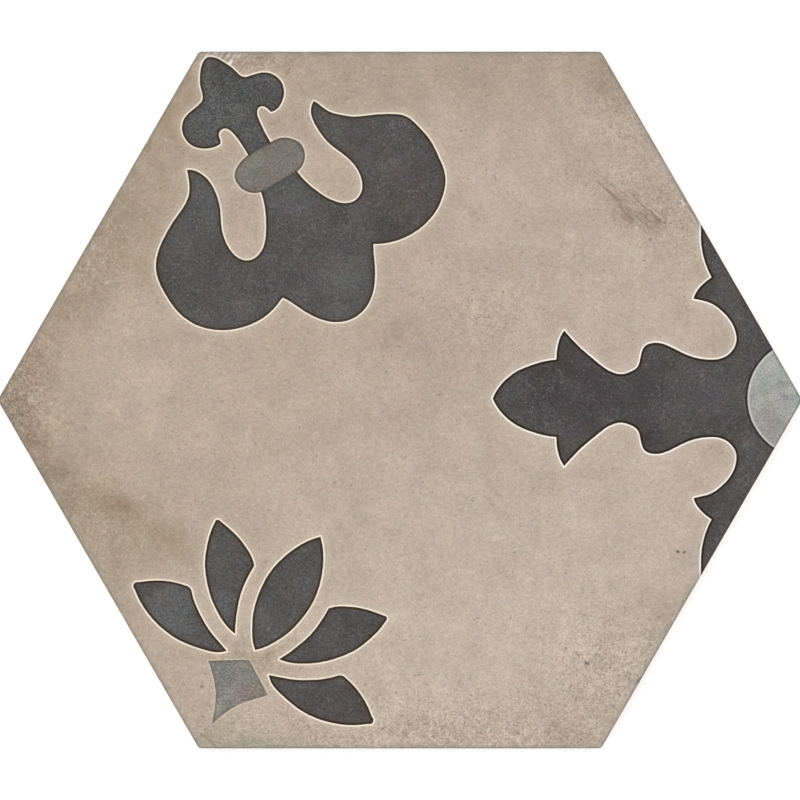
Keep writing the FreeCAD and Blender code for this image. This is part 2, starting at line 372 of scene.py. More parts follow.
# Scratches and pits: both ends and half width in millimetres, share, and sRGB colour
SCRATCHES = [
    ((87.4, 62.0), (88.4, 60.7), 0.45, 0.7, (240, 232, 224)),
    ((89.4, 59.2), (91.8, 55.2), 0.3, 0.5, (222, 210, 198)),
    ((-61.6, -103.8), (-57.8, -106.8), 0.7, 0.4, (124, 106, 94)),
    ((-90.5, -1.6), (-89.6, -2.8), 0.3, 0.5, (214, 202, 186)),
    ((-88.2, -2.4), (-87.0, -5.0), 0.3, 0.5, (214, 202, 186)),
    ((59.8, 68.6), (63.4, 66.2), 0.3, 0.4, (110, 90, 74)),
    ((63.4, 65.9), (68.0, 62.0), 0.5, 0.45, (118, 98, 82)),
    ((74.4, 61.2), (77.6, 58.6), 0.3, 0.35, (120, 104, 90)),
    ((77.4, 58.8), (80.4, 55.9), 0.4, 0.55, (112, 94, 80)),
    ((75.6, 61.2), (81.2, 56.5), 0.3, 0.4, (214, 202, 188)),
    ((80.6, 56.0), (82.6, 54.6), 0.3, 0.4, (116, 100, 86)),
    ((69.4, 57.4), (72.0, 54.9), 0.8, 0.4, (126, 106, 92)),
    ((77.6, 49.8), (77.7, 49.7), 0.7, 0.6, (110, 96, 84)),
    ((86.2, -47.2), (86.3, -47.2), 0.75, 0.9, (82, 72, 64)),
    ((88.2, -47.2), (88.3, -47.2), 0.75, 0.8, (88, 78, 70)),
    ((-61.6, -89.0), (-61.5, -89.0), 0.7, 0.7, (104, 92, 80)),
    ((57.8, -81.6), (57.9, -81.6), 0.8, 0.8, (96, 88, 78)),
    ((36.0, -103.2), (36.6, -103.4), 0.7, 0.5, (110, 98, 86)),
    ((51.4, -77.1), (51.5, -77.1), 0.5, 0.6, (108, 96, 84)),
    ((55.2, -79.2), (55.5, -79.4), 0.5, 0.55, (112, 100, 88)),
    ((53.0, -88.4), (52.6, -90.0), 0.45, 0.5, (114, 100, 88)),
    ((73.9, -87.6), (74.7, -86.3), 0.7, 0.6, (104, 98, 92)),
]


# Outlines of the tile and its figures


def direction(degrees):
    """Unit vector on the floor at an angle from +X."""
    return np.array((math.cos(math.radians(degrees)), math.sin(math.radians(degrees))))


def outlines_at(height):
    """Closed outlines of the frame's flat faces at one height, as arrays of (x, y)."""
    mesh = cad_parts[NODE].data
    following = {}
    for polygon in mesh.polygons:
        points = [mesh.vertices[i].co for i in polygon.vertices]
        if all(abs(p.z - height) < LEVEL_ERROR for p in points):
            keys = [(round(p.x / MM, 3), round(p.y / MM, 3)) for p in points]
            for start, end in zip(keys, keys[1:] + keys[:1]):
                if start in following.get(end, ()):
                    following[end].remove(start)
                else:
                    following.setdefault(start, []).append(end)
    outlines = []
    for start in following:
        while following[start]:
            outline = [start]
            while following.get(outline[-1]):
                outline.append(following[outline[-1]].pop())
            outlines.append(np.array(outline[:-1]) * MM)
    return outlines


def divided(outline, step):
    """The outline with more points on its long stretches."""
    points = []
    for start, end in zip(outline, np.roll(outline, -1, axis=0)):
        pieces = math.ceil(np.linalg.norm(end - start) / step)
        points += [start + (end - start) * i / pieces for i in range(pieces)]
    return np.array(points)


def side_gap(points):
    """Distance in from the tile's sides, with its rounded corners."""
    gap = np.full(len(points), np.inf)
    for k in range(6):
        gap = np.minimum(gap, ACROSS_FLATS / 2 - points @ direction(60 * k + 30))
    for k in range(6):
        out = direction(60 * k)
        reach = points - out * (SIDE - CORNER_RADIUS / COS_30)
        length = np.linalg.norm(reach, axis=1)
        beyond = reach @ out > length * COS_30
        gap = np.where(beyond, CORNER_RADIUS - length, gap)
    return gap


def unit(vector):
    """The vector at a length of one."""
    return vector / np.linalg.norm(vector)


def run_off_side(outline):
    """A figure's outline, carried on past the tile's side wherever the side cuts the figure off."""
    cut = side_gap(outline) < CUT_OFF
    points = []
    for i, point in enumerate(outline):
        before, after = i - 1, (i + 1) % len(outline)
        if not cut[i]:
            points.append(point)
            continue
        if not cut[before]:
            points += [point, point + unit(point - outline[before]) * PAST_SIDE]
        points.append(point + unit(point) * PAST_SIDE)
        if not cut[after]:
            points += [point + unit(point - outline[after]) * PAST_SIDE, point]
    return np.array(points)


def distance(points, starts, ends):
    """Distance from each point to the nearest of some segments, stood up as strips for the search."""
    count = len(starts)
    feet = np.vstack((starts, ends))
    corners = [(x, y, 0) for x, y in feet] + [(x, y, MM) for x, y in feet]
    strips = [(i, i + count, i + 3 * count, i + 2 * count) for i in range(count)]
    tree = BVHTree.FromPolygons(corners, strips)
    return np.array([tree.find_nearest((x, y, 0))[3] for x, y in points])


def inside(points, outline):
    """Whether each point lies inside an outline."""
    x, y = points.T
    crossed = np.zeros(len(points), bool)
    for (x0, y0), (x1, y1) in zip(outline, np.roll(outline, -1, axis=0)):
        if y0 != y1:
            crossed ^= ((y0 > y) != (y1 > y)) & (x < x0 + (y - y0) * (x1 - x0) / (y1 - y0))
    return crossed


def segments(outlines):
    """Start and end points of all the segments of some outlines."""
    return np.vstack(outlines), np.vstack([np.roll(outline, -1, axis=0) for outline in outlines])


def gap_into(points, outlines):
    """Distance from the nearest edge of some outlines, positive inside them and negative outside."""
    within = np.any([inside(points, outline) for outline in outlines], axis=0)
    return np.where(within, 1, -1) * distance(points, *segments(outlines))


def nearest_corner(outline):
    """Which figure's corner of the tile an outline belongs to."""
    corners = (LILY_CORNER, FLOWER_CORNER, CROSS_CORNER)
    return min(corners, key=lambda degrees: np.linalg.norm(outline.mean(0) - direction(degrees) * SIDE))


def figures_at(depth):
    """Outlines of the figures that are sunk to a depth."""
    return [run_off_side(divided(outline, OUTLINE_STEP)) for outline in outlines_at(THICKNESS - depth)]


def hexagons_at(height):
    """Outlines of the back's hexagonal keys at a height."""
    return [outline for outline in outlines_at(height) if len(outline) == 6]


dark_outlines = figures_at(DARK_DEPTH)
grey_outlines = figures_at(GREY_DEPTH)
grey_figures = {nearest_corner(outline): outline for outline in grey_outlines}
key_mouths = hexagons_at(0.0)
key_floors = hexagons_at(KEY_DEPTH)

# Where a dark and a grey figure touch, the grey one's outline is the edge of both.
starts, ends = segments(dark_outlines)
apart = distance((starts + ends) / 2, *segments(grey_outlines)) > NEAR
dark_edges = starts[apart], ends[apart]
starts, ends = segments(grey_outlines)
apart = distance((starts + ends) / 2, *segments(dark_outlines)) > NEAR
grey_edges = starts, ends
ground_edges = np.vstack((dark_edges[0], starts[apart])), np.vstack((dark_edges[1], ends[apart]))
figure_edges = np.vstack((dark_edges[0], grey_edges[0])), np.vstack((dark_edges[1], grey_edges[1]))


def ground_gap(points):
    """Distance from the nearest edge of the ground, positive on the ground, negative in the figures."""
    within = np.any([inside(points, outline) for outline in dark_outlines + grey_outlines], axis=0)
    return np.where(within, -1, 1) * distance(points, *ground_edges)


# Mesh of the tile


def tile_ring(inset):
    """Points round the tile at a distance in from its sides, as many at every distance."""
    radius = max(CORNER_RADIUS - inset, LEAST_RADIUS)
    centre_reach = (ACROSS_FLATS / 2 - inset - radius) / COS_30
    side_steps = round(SIDE / SIDE_STEP)
    points = []
    for k in range(6):
        centre = direction(60 * k) * centre_reach
        turns = [60 * k - 30 + 60 * i / CORNER_STEPS for i in range(CORNER_STEPS + 1)]
        arc = [centre + direction(turn) * radius for turn in turns]
        following = direction(60 * k + 60) * centre_reach + direction(60 * k + 30) * radius
        run = following - arc[-1]
        points += arc + [arc[-1] + run * i / side_steps for i in range(1, side_steps)]
    return np.array(points)


def offset_rings():
    """Points at set distances to both sides of the figures' edges, less those too near another edge."""
    rings = []
    for outline in dark_outlines + grey_outlines:
        before, after = outline - np.roll(outline, 1, axis=0), np.roll(outline, -1, axis=0) - outline
        heading_in = np.arctan2(before[:, 1], before[:, 0])
        turn = np.arctan2(after[:, 1], after[:, 0]) - heading_in
        turn = (turn + math.pi) % (2 * math.pi) - math.pi
        for point, heading, bend in zip(outline, heading_in, turn):
            fan = max(1, math.ceil(abs(bend) / FAN_STEP))
            shares = [i / fan for i in range(fan + 1)] if fan > 1 else [0.5]
            headings = [heading + bend * share for share in shares]
            for angle in headings:
                normal = np.array((-math.sin(angle), math.cos(angle)))
                rings += [point + normal * offset * way for offset in RING_OFFSETS for way in (-1, 1)]
    rings = np.array(rings)
    offsets = np.tile(np.repeat(RING_OFFSETS, 2), len(rings) // (2 * len(RING_OFFSETS)))
    true = np.abs(distance(rings, *figure_edges) - offsets) < RING_ERROR
    return rings[true & (side_gap(rings) > NEAR)]


def grid(step, least_side_gap):
    """Triangular grid of points over the tile."""
    rows = range(-math.ceil(ACROSS_FLATS / step), math.ceil(ACROSS_FLATS / step) + 1)
    columns = range(-math.ceil(SIDE / step) - 1, math.ceil(SIDE / step) + 2)
    row_step = step * COS_30
    points = np.array([(step * (i + (j % 2) / 2), row_step * j) for j in rows for i in columns])
    return points[side_gap(points) > least_side_gap]


def spread(points, least):
    """The points, less those that lie nearer to an earlier one than the least distance."""
    tree = KDTree(len(points))
    for i, (x, y) in enumerate(points):
        tree.insert((x, y, 0), i)
    tree.balance()
    kept = np.ones(len(points), bool)
    for i, (x, y) in enumerate(points):
        if kept[i]:
            kept[[j for _, j, _ in tree.find_range((x, y, 0), least) if j > i]] = False
    return points[kept]


def triangulated(outline, edges, points):
    """Points and triangles over an outline, each point's source, and the points along the outline."""
    starts, ends = edges
    places = np.vstack((outline, starts, ends, points)) / MM
    ring = [(i, (i + 1) % len(outline)) for i in range(len(outline))]
    pairs = [(len(outline) + i, len(outline) + len(starts) + i) for i in range(len(starts))]
    placed, _, faces, origins, _, _ = geometry.delaunay_2d_cdt(
        [Vector(place) for place in places], ring + pairs, [], 1, 1e-3
    )
    index = {origin: i for i, found in enumerate(origins) for origin in found}
    outer = [index[i] for i in range(len(outline))]
    sources = [found[0] if found else -1 for found in origins]
    return np.array([tuple(p) for p in placed]) * MM, faces, sources, outer


def smooth(value, start, end):
    """A smooth step from 0 to 1 as the value goes from start to end."""
    share = np.clip((value - start) / (end - start), 0, 1)
    return share * share * (3 - 2 * share)


def ripple(points, size, seed):
    """Smooth noise from about -1 to 1, with features of about that size."""
    return np.array([noise.noise(Vector((x / size, y / size, seed))) for x, y in points])


def worn_radius(points):
    """Radius of the top arris at each point: worn unevenly, with a few chips."""
    wear = smooth(ripple(points, WEAR_SIZE, 3), -0.3, 0.6)
    chips = smooth(ripple(points, CHIP_SIZE, 4), 0.3, 0.6)
    chipped = np.exp(-((np.linalg.norm(points - CHIPPED_PLACE, axis=1) / CHIPPED_REACH) ** 2))
    return ARRIS_RADIUS + WORN_ARRIS * (0.5 * wear + chips * (0.35 + 0.65 * chipped))


def face_height(points):
    """Height of the decorated face: sunk figures, a worn arris and a slight unevenness."""
    radius, gap = worn_radius(points), side_gap(points)
    drop = radius - np.sqrt(radius**2 - np.clip(radius - gap, 0, radius) ** 2)
    recess = DARK_DEPTH * smooth(gap_into(points, dark_outlines), -RECESS_SLOPE, RECESS_SLOPE)
    recess += GREY_DEPTH * smooth(gap_into(points, grey_outlines), -RECESS_SLOPE, RECESS_SLOPE)
    swell = SWELL * (0.5 + 0.5 * ripple(points, SWELL_SIZE, 5)) * smooth(gap, 0, SWELL_START)
    return THICKNESS - np.maximum(drop, recess) - swell


def decorated_face():
    """Vertices and triangles of the face, and which of its vertices lie along its edge."""
    outer = tile_ring(0)
    arris = np.vstack([tile_ring(inset) for inset in ARRIS_INSETS])
    starts, ends = figure_edges
    on_tile = (side_gap(starts) > NEAR) & (side_gap(ends) > NEAR)
    field = grid(GRID_STEP, ARRIS_INSETS[-1] + GRID_STEP / 2)
    field = field[distance(field, starts, ends) > RING_OFFSETS[-1] + GRID_STEP / 2]
    points = spread(np.vstack((arris, offset_rings(), field)), NEAR)
    placed, faces, _, edge = triangulated(outer, (starts[on_tile], ends[on_tile]), points)
    return np.column_stack((placed, face_height(placed))), faces, edge


def key_ring(centre, radius):
    """Points round a hexagon as the keys of the back are turned."""
    corners = [centre + direction(60 * k + 30) * radius for k in range(6)]
    return divided(np.array(corners), KEY_STEP)


def back():
    """Vertices and triangles of the keyed underside, and which of its vertices lie along its edge."""
    outer = tile_ring(LOWER_BEVEL)
    mouth = np.linalg.norm(key_mouths[0][0] - key_mouths[0].mean(0))
    floor = np.linalg.norm(key_floors[0][0] - key_floors[0].mean(0))
    halfway = (mouth + floor) / 2
    steps = ((mouth + KEY_EASE, 0), (mouth, 0.1), (halfway, 0.5), (floor, 0.9), (floor - KEY_EASE, 1))
    rings, rises = [], []
    for outline in key_mouths:
        for radius, share in steps:
            ring = key_ring(outline.mean(0), radius)
            rings.append(ring)
            rises.append(np.full(len(ring), share * KEY_DEPTH))
    placed, faces, sources, edge = triangulated(outer, (outer[:0], outer[:0]), np.vstack(rings))
    heights = np.concatenate([np.zeros(len(outer))] + rises)[sources]
    return np.column_stack((placed, heights)), [face[::-1] for face in faces], edge


def wall_rings(top):
    """Rings of vertices down the tile's side, from just under its arris to the lower bevel."""
    ring = tile_ring(0)
    outward = np.array([unit(p) for p in ring])
    rings = []
    for share in SIDE_LEVELS:
        wave = 0.5 + 0.5 * ripple(ring + share * SIDE_WAVE_SHIFT, SIDE_WAVE_SIZE, 6)
        height = LOWER_BEVEL + share * (top - LOWER_BEVEL)
        rings.append(np.column_stack((ring - outward * (wave * SIDE_WAVE)[:, None], height)))
    return rings


def tile_mesh():
    """The whole tile as one closed mesh."""
    face_places, face_triangles, face_edge = decorated_face()
    back_places, back_triangles, back_edge = back()
    rings = wall_rings(face_places[face_edge][:, 2])
    places = [face_places, back_places] + rings
    firsts = np.cumsum([0] + [len(p) for p in places])
    faces = list(face_triangles) + [[i + firsts[1] for i in triangle] for triangle in back_triangles]
    loops = [np.array(face_edge)] + [first + np.arange(len(face_edge)) for first in firsts[2:-1]]
    loops.append(np.array(back_edge) + firsts[1])
    for upper, lower in zip(loops, loops[1:]):
        sides = zip(upper, lower, np.roll(lower, -1), np.roll(upper, -1))
        faces += [[int(i) for i in side] for side in sides]
    mesh = bpy.data.meshes.new(PIECE)
    mesh.from_pydata(np.vstack(places).tolist(), [], faces)
    mesh.validate()
    mesh.shade_smooth()
    mesh.set_sharp_from_angle(angle=SHARP_ANGLE)
    return mesh


# Colours


def linear(levels):
    """Linear values of sRGB colours given in bytes."""
    return ((np.asarray(levels) / 255 + 0.055) / 1.055) ** 2.4


def tone(colour):
    """The linear colour that a shader takes for an sRGB colour in bytes."""
    return linear(colour).tolist()


# Marks on the tile that its material reads at each point


def falloff(offset, size, angle):
    """One in the middle of a soft ellipse, and nearly nothing beyond twice its size."""
    reach = (offset @ direction(angle) / (size[0] * MM)) ** 2
    reach += (offset @ direction(angle + 90) / (size[1] * MM)) ** 2
    return np.exp(-reach)


def stain_tone(points, stains, base):
    """What each point's colour is multiplied by, where stains change a base colour by some levels."""
    warp = np.column_stack([ripple(points, STAIN_RAGGED, seed) for seed in (11, 12)])
    warp *= STAIN_RAGGED * 0.5
    patchy = 1 + 0.5 * ripple(points, STAIN_PATCHES, 13)
    levels = np.tile(np.array(base, float), (len(points), 1))
    for place, size, angle, change in stains:
        offset = points + warp * min(1, min(size) * MM / STAIN_RAGGED) - np.array(place) * MM
        levels += (falloff(offset, size, angle) * patchy)[:, None] * np.array(change)
    return linear(np.clip(levels, 1, 255)) / linear(base)


def strength_in(points, places):
    """How strongly each point lies in some soft places, each with its full strength in the middle."""
    strength = np.zeros(len(points))
    for place, size, angle, full in places:
        strength = np.maximum(strength, full * falloff(points - np.array(place) * MM, size, angle))
    return strength


def mark(mesh, name, values):
    """Store a number or a colour factor for each vertex."""
    values = np.asarray(values)
    kind = "FLOAT" if values.ndim == 1 else "FLOAT_VECTOR"
    field = "value" if values.ndim == 1 else "vector"
    mesh.attributes.new(name, kind, "POINT").data.foreach_set(field, values.astype(np.float32).ravel())


def line_strength(points):
    """How strong the lines are along the edge of the figure that is nearest to each point."""
    figures = [(DARK_LINES[nearest_corner(outline)], outline) for outline in dark_outlines]
    figures += [(GREY_LINES[degrees], outline) for degrees, outline in grey_figures.items()]
    gaps = [gap_into(points, [outline]) for _, outline in figures]
    return np.array([strength for strength, _ in figures])[np.argmax(gaps, axis=0)]


def add_marks(mesh):
    """Distances from the figures' edges and the tile's side, wear, and the stains' tones and places."""
    places = np.zeros(3 * len(mesh.vertices))
    mesh.vertices.foreach_get("co", places)
    points = places.reshape(-1, 3)[:, :2]
    mark(mesh, "ground_gap", ground_gap(points) / MM)
    gaps = {degrees: gap_into(points, [outline]) for degrees, outline in grey_figures.items()}
    mark(mesh, "band_gap", gaps[LILY_CORNER] / MM)
    mark(mesh, "foot_gap", gaps[FLOWER_CORNER] / MM)
    mark(mesh, "eye_gap", gaps[CROSS_CORNER] / MM)
    mark(mesh, "line_strength", line_strength(points))
    mark(mesh, "side_gap", side_gap(points) / MM)
    mark(mesh, "wear", (worn_radius(points) - ARRIS_RADIUS) / WORN_ARRIS)
    mark(mesh, "ground_tone", stain_tone(points, GROUND_STAINS, GROUND))
    mark(mesh, "dark_tone", stain_tone(points, DARK_STAINS, DARK))
    mark(mesh, "grey_tone", stain_tone(points, GREY_STAINS, FOOT))
    mark(mesh, "coarse", strength_in(points, COARSE_PLACES))
    mark(mesh, "lined", strength_in(points, LINED_PLACES))
    mark(mesh, "grainy", strength_in(points, GRAINY_PLACES))
    mark(mesh, "scuffed", strength_in(points, SCUFFED_PLACES))


# Material


class Nodes:
    """Short calls that add nodes to a material. Their lengths are in millimetres."""

    def __init__(self, name):
        self.material = bpy.data.materials.new(name)
        self.material.use_nodes = True
        self.tree = self.material.node_tree
        self.shader = self.tree.nodes["Principled BSDF"]
        self.place = self.scaled(self.made("TexCoord", {}, "Object"), 1 / MM)

    def plug(self, socket, value):
        """Link a socket to another node, or set it to a constant."""
        if isinstance(value, bpy.types.NodeSocket):
            self.tree.links.new(value, socket)
        elif socket.type == "RGBA":
            socket.default_value = (*value, 1)
        else:
            socket.default_value = value

    def made(self, kind, inputs, output=0, **settings):
        """Add a node with these inputs and settings, and return one of its outputs."""
        node = self.tree.nodes.new("ShaderNode" + kind)
        for name, value in settings.items():
            setattr(node, name, value)
        for key, value in dict(inputs).items():
            self.plug(node.inputs[key], value)
        return node.outputs[output]

    def math(self, operation, *values):
        return self.made("Math", enumerate(values), operation=operation)

    def times(self, value, *factors):
        """The value times one factor after the other."""
        for factor in factors:
            value = self.math("MULTIPLY", value, factor)
        return value

    def plus(self, value, *terms):
        """The value plus one term after the other."""
        for term in terms:
            value = self.math("ADD", value, term)
        return value

    def math3(self, operation, *values, output="Vector"):
        return self.made("VectorMath", enumerate(values), output, operation=operation)

    def scaled(self, vector, factor):
        return self.made("VectorMath", {0: vector, 3: factor}, operation="SCALE")

    def attribute(self, name, output="Fac"):
        return self.made("Attribute", {}, output, attribute_name=name)

    def rise(self, value, start, end, low=0.0, high=1.0):
        """A smooth step from low to high as the value goes from start to end."""
        numbers = enumerate((value, start, end, low, high))
        return self.made("MapRange", numbers, interpolation_type="SMOOTHSTEP")

    def between(self, value, start, full, fade, end):
        """One between full and fade, falling to nothing at start and end."""
        return self.times(self.rise(value, start, full), self.rise(value, fade, end, 1.0, 0.0))

    def mix(self, share, first, second):
        """The first colour with that share of the second."""
        return self.made("Mix", {0: share, 6: first, 7: second}, 2, data_type="RGBA")

    def noise(self, size, detail, roughness, shift, stretch=None, output="Fac"):
        """Noise with features of about that size."""
        place = self.math3("ADD", self.place, (shift, 1.7 * shift, 0.6 * shift))
        if stretch:
            place = self.turned(place, *stretch)
        inputs = {"Vector": place, "Scale": 1 / size, "Detail": detail, "Roughness": roughness}
        return self.made("TexNoise", inputs, output)

    def noise3(self, size, roughness, shift):
        """Three noises in one, each about zero."""
        colour = self.noise(size, 2.0, roughness, shift, output="Color")
        return self.math3("SUBTRACT", colour, (0.5, 0.5, 0.5))

    def turned(self, place, degrees, ratio):
        """The place turned to a direction and squeezed along it, so that a pattern runs that way."""
        turn = (0, 0, math.radians(degrees))
        inputs = {"Vector": place, "Rotation": turn, "Scale": (ratio, 1, 1)}
        return self.made("Mapping", inputs, vector_type="TEXTURE")

    def cells(self, size, shift):
        """Distance from the nearest of scattered points, in cells of about that size."""
        place = self.math3("ADD", self.place, (shift, shift, 0.0))
        return self.made("TexVoronoi", {"Vector": place, "Scale": 1 / size}, "Distance")


def shaded(nodes, colour, grain, most, amount=1.0):
    """The colour made lighter or darker by a noise about its middle, by up to most times the amount."""
    change = nodes.times(nodes.rise(grain, 0.25, 0.75, -most, most), amount)
    return nodes.scaled(colour, nodes.plus(change, 1.0))


def mottled(nodes, colour, size, most, shift):
    """The colour with patches of slightly different hue."""
    factor = nodes.math3("ADD", nodes.scaled(nodes.noise3(size, 0.55, shift), most), (1.0, 1.0, 1.0))
    return nodes.math3("MULTIPLY", colour, factor)


def painted(nodes, colour, share, target):
    """The colour with that share of a target in sRGB bytes laid over it."""
    return nodes.mix(share, colour, tone(target))


def dots(nodes, size, shift, amount):
    """Scattered small dots, more of them where the amount is higher."""
    edge = nodes.plus(nodes.times(amount, -0.08), 0.7)
    return nodes.rise(nodes.noise(size, 1.0, 0.5, shift), edge, nodes.plus(edge, 0.05))


def scratch(nodes, place, start, end, half_width):
    """One along a line between two places on the face, and nothing beyond its half width."""
    run = np.array(end) - np.array(start)
    offset = nodes.math3("SUBTRACT", place, (*start, 0))
    along = nodes.math3("DOT_PRODUCT", offset, (*(run / (run @ run)), 0), output="Value")
    along = nodes.math("MINIMUM", nodes.math("MAXIMUM", along, 0.0), 1.0)
    offset = nodes.math3("SUBTRACT", offset, nodes.scaled((*run, 0), along))
    gap = nodes.math3("LENGTH", offset, output="Value")
    return nodes.rise(gap, 0.4 * half_width, half_width, 1.0, 0.0)


def ground_clay(nodes):
    """Buff ground with a fine grain, coarser in places, with pits, specks and a few scratches."""
    coarse = nodes.attribute("coarse")
    amount = nodes.plus(coarse, 0.55)
    colour = nodes.math3("MULTIPLY", tone(GROUND), nodes.attribute("ground_tone", "Vector"))
    colour = shaded(nodes, colour, nodes.noise(14, 3.0, 0.6, 10), 0.07)
    colour = mottled(nodes, colour, 3.0, 0.12, 20)
    colour = shaded(nodes, colour, nodes.noise(1.8, 2.0, 0.6, 30), 0.09, amount)
    colour = shaded(nodes, colour, nodes.noise(0.55, 1.0, 0.5, 35), 0.2, amount)
    blots = nodes.times(nodes.rise(nodes.noise(2.0, 2.0, 0.6, 37), 0.58, 0.68), coarse)
    colour = painted(nodes, colour, nodes.times(blots, 0.25), BLOTS)
    colour = painted(nodes, colour, nodes.times(dots(nodes, 1.0, 40, coarse), 0.5), PITS)
    colour = painted(nodes, colour, nodes.times(dots(nodes, 0.9, 45, coarse), 0.35), SPECKS)
    for name, angle, shift, dark_share, dark_tone, pale_share, pale_tone in STREAKS:
        lines, strength = nodes.noise(0.9, 2.0, 0.6, shift, stretch=(angle, 9)), nodes.attribute(name)
        dark = nodes.times(nodes.rise(lines, 0.52, 0.66, 0.0, dark_share), strength)
        pale = nodes.times(nodes.rise(lines, 0.36, 0.48, pale_share, 0.0), strength)
        colour = painted(nodes, colour, dark, dark_tone)
        colour = painted(nodes, colour, pale, pale_tone)
    place = nodes.math3("ADD", nodes.place, nodes.scaled(nodes.noise3(1.5, 0.6, 49), SCRATCH_SHAKE))
    place = nodes.math3("MULTIPLY", place, (1, 1, 0))
    for start, end, half_width, share, target in SCRATCHES:
        mask = nodes.times(scratch(nodes, place, start, end, half_width), share)
        colour = painted(nodes, colour, mask, target)
    return colour


def dark_clay(nodes):
    """Dark slip, mottled bluish and brownish, with a fine leathery grain and pale specks."""
    colour = nodes.math3("MULTIPLY", tone(DARK), nodes.attribute("dark_tone", "Vector"))
    colour = mottled(nodes, colour, 4.0, 0.33, 50)
    colour = shaded(nodes, colour, nodes.noise(12, 3.0, 0.6, 60), 0.19)
    colour = shaded(nodes, colour, nodes.noise(1.8, 2.0, 0.6, 70), 0.04)
    amount = nodes.plus(nodes.attribute("grainy"), 1.0)
    colour = shaded(nodes, colour, nodes.noise(0.5, 1.0, 0.5, 75), 0.33, amount)
    crease = nodes.math("ABSOLUTE", nodes.math("SUBTRACT", nodes.noise(1.6, 1.0, 0.5, 77), 0.5))
    creased = nodes.rise(nodes.noise(6, 2.0, 0.5, 79), 0.38, 0.62)
    crease = nodes.times(nodes.rise(crease, 0.0, 0.035, 1.0, 0.0), creased)
    colour = painted(nodes, colour, nodes.times(crease, 0.38), CREASES)
    return painted(nodes, colour, nodes.times(dots(nodes, 0.9, 78, 0.0), 0.3), DARK_SPECKS)


def grey_clay(nodes):
    """Grey slips of the lily's band, the flower's foot and the cross's eye."""
    foot = nodes.rise(nodes.attribute("foot_gap"), -2.0, -1.0)
    eye = nodes.rise(nodes.attribute("eye_gap"), -2.0, -1.0)
    colour = nodes.mix(eye, nodes.mix(foot, tone(BAND), tone(FOOT)), tone(EYE))
    colour = nodes.math3("MULTIPLY", colour, nodes.attribute("grey_tone", "Vector"))
    colour = mottled(nodes, colour, 4.5, 0.2, 140)
    colour = shaded(nodes, colour, nodes.noise(12.0, 2.0, 0.6, 142), 0.1)
    colour = shaded(nodes, colour, nodes.noise(5.0, 3.0, 0.6, 143), 0.1)
    amount = nodes.plus(nodes.times(eye, -0.07), nodes.rise(foot, 0.0, 1.0, 0.72, 1.0))
    colour = shaded(nodes, colour, nodes.noise(1.6, 2.0, 0.6, 145), 0.13, amount)
    return shaded(nodes, colour, nodes.noise(0.5, 1.0, 0.5, 147, stretch=(35, 1.3)), 0.35, amount)


def figure_colour(nodes, gap, strength, warmer):
    """The figures' slips, with the dark line inside their edges, and the eye's and the band's rims."""
    browner = nodes.times(nodes.rise(gap, -2.4, -0.6, 0.0, 0.3), strength)
    colour = painted(nodes, dark_clay(nodes), browner, BROWN_MARGIN)
    band_gap, foot_gap, eye_gap = [nodes.attribute(f"{name}_gap") for name in ("band", "foot", "eye")]
    grey_gap = nodes.math("MAXIMUM", nodes.math("MAXIMUM", band_gap, eye_gap), foot_gap)
    colour = nodes.mix(nodes.rise(grey_gap, -0.1, 0.1), colour, grey_clay(nodes))
    dark_line = nodes.times(nodes.between(gap, -0.75, -0.6, 0.1, 0.2), strength)
    dark_line = nodes.times(dark_line, nodes.rise(strength, 0.5, 1.0, 0.75, 1.0))
    colour = nodes.mix(dark_line, colour, nodes.mix(warmer, tone(DARK_LINE), tone(WARM_DARK_LINE)))
    rims = (
        (nodes.between(eye_gap, -0.75, -0.6, -0.04, 0.1), 0.88, EYE_DARK_RIM),
        (nodes.between(eye_gap, -0.04, 0.1, 0.35, 0.9), 0.66, EYE_PALE_RIM),
        (nodes.between(band_gap, -0.8, -0.5, 0.2, 0.7), 0.25, BAND_RIM),
    )
    for rim, share, target in rims:
        colour = painted(nodes, colour, nodes.times(rim, share), target)
    return colour


def ground_colour(nodes, gap, strength, warmer):
    """The ground, with a soft halo and a thin pale line round the figures."""
    halo = nodes.times(nodes.rise(gap, 0.9, 3.2, 0.25, 0.0), strength)
    colour = painted(nodes, ground_clay(nodes), halo, HALO)
    uneven = nodes.rise(nodes.noise(6.0, 2.0, 0.5, 160), 0.3, 0.6, 0.8, 1.0)
    pale_line = nodes.times(nodes.between(gap, -0.02, 0.09, 0.42, 0.7), strength, uneven)
    return nodes.mix(pale_line, colour, nodes.mix(warmer, tone(PALE_LINE), tone(WARM_PALE_LINE)))


def face_colour(nodes):
    """Colour of the decorated face: the figures, and the ground round them."""
    strength = nodes.attribute("line_strength")
    warmer = nodes.rise(strength, 0.9, 1.0, 1.0, 0.0)
    waver = nodes.times(nodes.math("SUBTRACT", nodes.noise(2.5, 2.0, 0.5, 80), 0.5), 0.16)
    gap = nodes.plus(nodes.attribute("ground_gap"), waver, nodes.times(warmer, -0.03))
    figure = figure_colour(nodes, gap, strength, warmer)
    ground = ground_colour(nodes, gap, strength, warmer)
    return nodes.mix(nodes.rise(gap, -0.02, 0.12), figure, ground)


